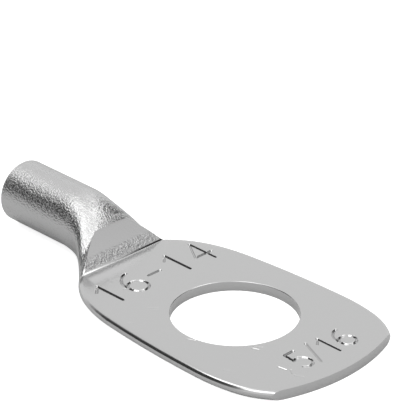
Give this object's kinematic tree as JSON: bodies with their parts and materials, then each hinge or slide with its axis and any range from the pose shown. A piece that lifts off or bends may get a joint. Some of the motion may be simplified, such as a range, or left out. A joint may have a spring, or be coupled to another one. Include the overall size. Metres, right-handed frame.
{
  "type": "tubular cable lug",
  "caption": "Tubular cable lug with a round crimp barrel, a pressed sloping neck and a flat palm with a stud hole.",
  "frame": {"origin": "centre of the stud hole, on the palm's flat underside", "axes": "+Z along the stud hole's axis, out of the palm's upper face; +X along the lug, from the barrel's open end towards the tip of the palm; +Y across the palm"},
  "size_m": [0.0301, 0.0136, 0.0043],
  "materials": {
    "tinned_copper": "satin tin plating over copper"
  },
  "bodies": {
    "root": {"cable_lug": "tinned_copper"}
  },
  "joints": []
}
